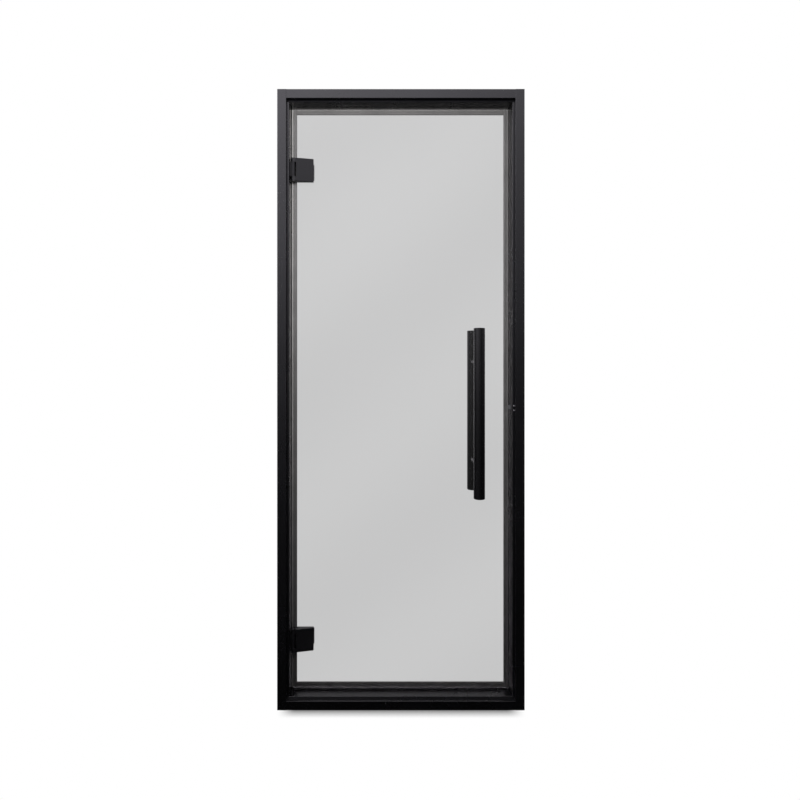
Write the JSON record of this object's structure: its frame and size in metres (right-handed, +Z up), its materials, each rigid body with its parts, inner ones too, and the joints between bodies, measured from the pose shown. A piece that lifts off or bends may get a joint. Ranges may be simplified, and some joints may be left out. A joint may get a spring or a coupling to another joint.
{
  "type": "framed glass door",
  "caption": "Framed swing door: stepped black metal frame with a grey glass pane on clamp hinges, tubular pull bars on both faces and a sprung roller catch in the jamb.",
  "frame": {"origin": "middle of the foot of the frame, in the middle plane of the pane", "axes": "+X to the strike side seen from outside, +Y from outside to inside, +Z up"},
  "size_m": [0.795, 0.1638, 1.995],
  "materials": {
    "frame_coat": "satin black coating",
    "hinge_coat": "satin black coating",
    "handle_coat": "satin black coating",
    "pane_glass": "clear, light grey",
    "seal_rubber": "matt grey",
    "gasket_rubber": "matt black",
    "steel": "bright",
    "black_plastic": "matt black",
    "roller_plastic": "smooth dark grey"
  },
  "bodies": {
    "frame": {"left_jamb": "frame_coat", "right_jamb": "frame_coat", "head_rail": "frame_coat", "sill_rail": "frame_coat", "seal_left": "seal_rubber", "seal_right": "seal_rubber", "seal_head": "seal_rubber", "seal_sill": "seal_rubber", "corner_screws": "steel", "upper_hinge_knuckle": "hinge_coat", "lower_hinge_knuckle": "hinge_coat", "hinge_bushes": "black_plastic", "hinge_mount_screws": "steel", "hinge_backing_plates": "steel", "catch_housing": "black_plastic", "catch_screws": "steel", "catch_spring": "steel"},
    "leaf": {"glass_pane": "pane_glass", "upper_hinge_front_clamp": "hinge_coat", "lower_hinge_front_clamp": "hinge_coat", "upper_hinge_rear_plate": "hinge_coat", "lower_hinge_rear_plate": "hinge_coat", "upper_hinge_pins": "steel", "lower_hinge_pins": "steel", "hinge_gaskets": "gasket_rubber", "hinge_sleeves": "black_plastic", "hinge_clamp_screws": "steel", "outer_handle_bar": "handle_coat", "inner_handle_bar": "handle_coat", "outer_handle_caps": "handle_coat", "inner_handle_caps": "handle_coat", "outer_handle_posts": "handle_coat", "inner_handle_posts": "handle_coat", "handle_studs": "steel", "handle_sleeves": "black_plastic", "handle_washers": "gasket_rubber"},
    "plunger": {"catch_plunger": "black_plastic", "catch_roller_pin": "steel"},
    "roller": {"catch_roller": "roller_plastic"}
  },
  "joints": [
    {"name": "leaf_swing", "type": "hinge", "parent": "frame", "child": "leaf", "pos_m": [-0.3515, -0.019, 0], "axis": [0, 0, -1], "range_deg": [0, 100]},
    {"name": "catch_press", "type": "slide", "parent": "frame", "child": "plunger", "axis": [1, 0, 0], "range_m": [0, 0.004], "stiffness_N_per_m": 600, "springref_m": -0.002, "deforming": ["catch_spring"]},
    {"name": "catch_roll", "type": "hinge", "parent": "plunger", "child": "roller", "pos_m": [0.3633, -0.0082, 0.969], "axis": [0, 0, 1], "continuous": true}
  ]
}
